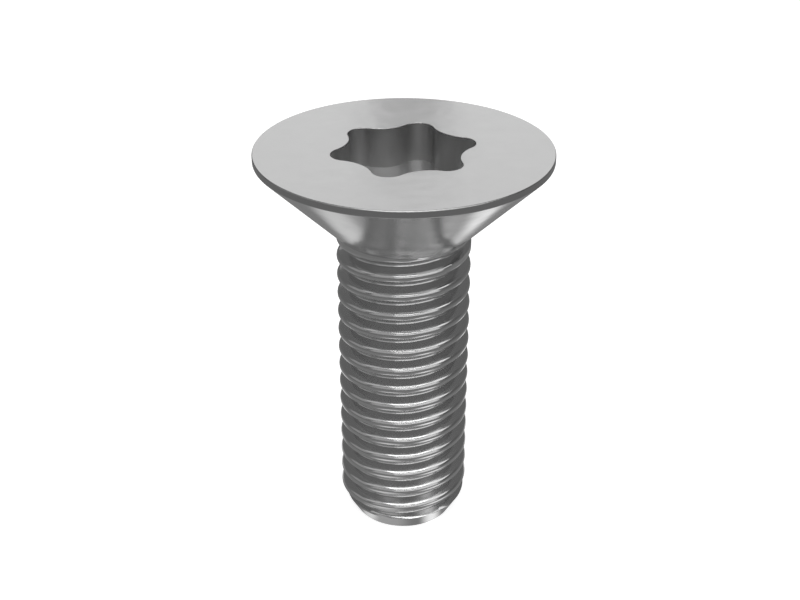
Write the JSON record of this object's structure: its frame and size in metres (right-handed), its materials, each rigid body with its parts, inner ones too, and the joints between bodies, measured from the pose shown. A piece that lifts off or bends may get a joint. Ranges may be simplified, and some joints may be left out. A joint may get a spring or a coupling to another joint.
{
  "type": "countersunk screw",
  "caption": "Countersunk machine screw with a flat head, a shallow six-lobed driving socket and a right-hand metric thread that runs up to the head.",
  "frame": {"origin": "centre of the flat end face, on the screw's own axis", "axes": "+Z along the screw's axis from the end face to the head, +X through the middle of one lobe of the socket"},
  "size_m": [0.0173, 0.0172, 0.0246],
  "materials": {
    "steel": "satin turned stainless steel"
  },
  "bodies": {
    "root": {"screw": "steel"}
  },
  "joints": []
}
